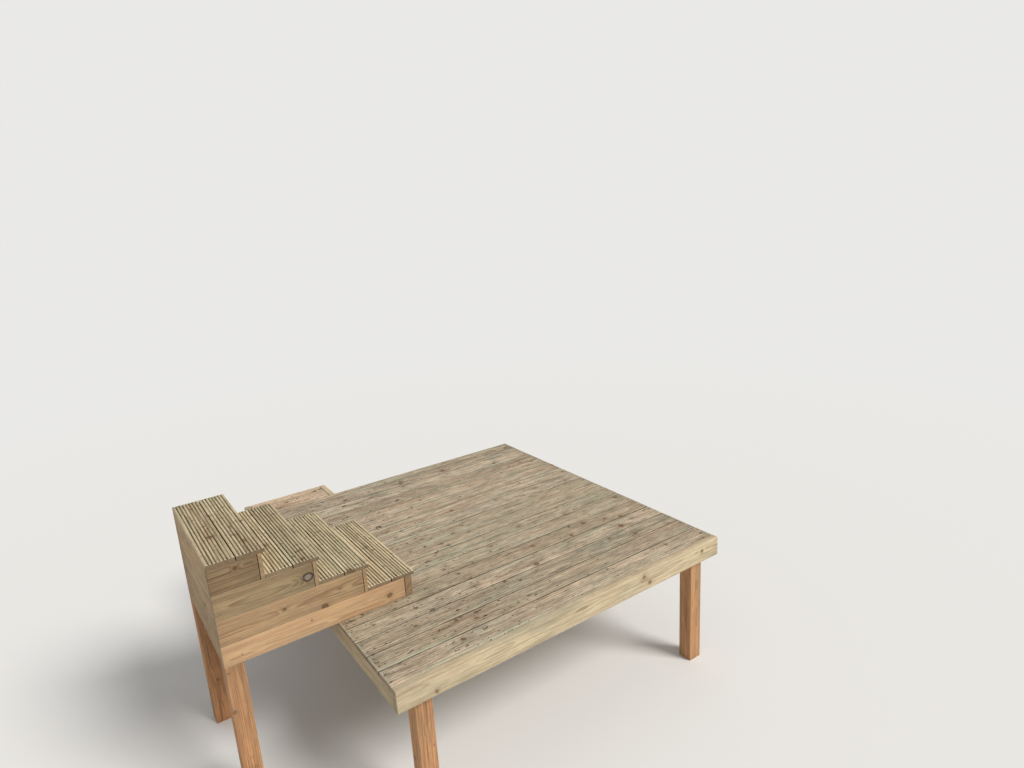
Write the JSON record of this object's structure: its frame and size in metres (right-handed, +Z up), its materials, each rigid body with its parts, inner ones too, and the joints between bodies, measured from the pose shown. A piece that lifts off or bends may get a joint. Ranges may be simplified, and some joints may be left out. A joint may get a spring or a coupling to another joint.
{
  "type": "wooden jetty",
  "caption": "Timber jetty with a boarded deck on posts, stacked box steps with grooved treads at one end and a short side ledge.",
  "frame": {"origin": "middle of the outline, level with the feet of the posts", "axes": "+X along the deck boards from the steps to the free front end, +Y across the deck from the near rim to the side with the ledge, +Z up"},
  "size_m": [3.025, 2.786, 1.5],
  "materials": {
    "deck_boards": "pressure-treated softwood decking, weathering",
    "tread_boards": "grooved pressure-treated softwood decking, fresh",
    "framing": "sawn treated softwood",
    "step_boards": "sawn treated softwood boards",
    "posts": "brown-treated softwood post"
  },
  "bodies": {
    "root": {"deck_boards": "deck_boards", "near_rim": "framing", "far_rim": "framing", "front_rim": "framing", "back_rim": "framing", "joist_1": "framing", "joist_2": "framing", "joist_3": "framing", "joist_4": "framing", "joist_5": "framing", "near_front_post": "posts", "far_front_post": "posts", "near_back_post": "posts", "far_back_post": "posts", "ledge_boards": "deck_boards", "ledge_front_rim": "framing", "ledge_back_rim": "framing", "ledge_side_rim": "framing", "ledge_joists": "framing", "ledge_front_post": "posts", "ledge_back_post": "posts", "step_1_tread": "tread_boards", "step_1_riser": "step_boards", "step_1_near_side": "step_boards", "step_1_far_side": "step_boards", "step_1_centre": "step_boards", "step_1_back": "step_boards", "step_2_tread": "tread_boards", "step_2_riser": "step_boards", "step_2_near_side": "step_boards", "step_2_far_side": "step_boards", "step_2_centre": "step_boards", "step_2_back": "step_boards", "step_3_tread": "tread_boards", "step_3_riser": "step_boards", "step_3_near_side": "step_boards", "step_3_far_side": "step_boards", "step_3_centre": "step_boards", "step_3_back": "step_boards", "step_4_tread": "tread_boards", "step_4_riser": "step_boards", "step_4_near_side": "step_boards", "step_4_far_side": "step_boards", "step_4_centre": "step_boards", "step_4_back": "step_boards", "step_near_post": "posts", "step_far_post": "posts"}
  },
  "joints": []
}
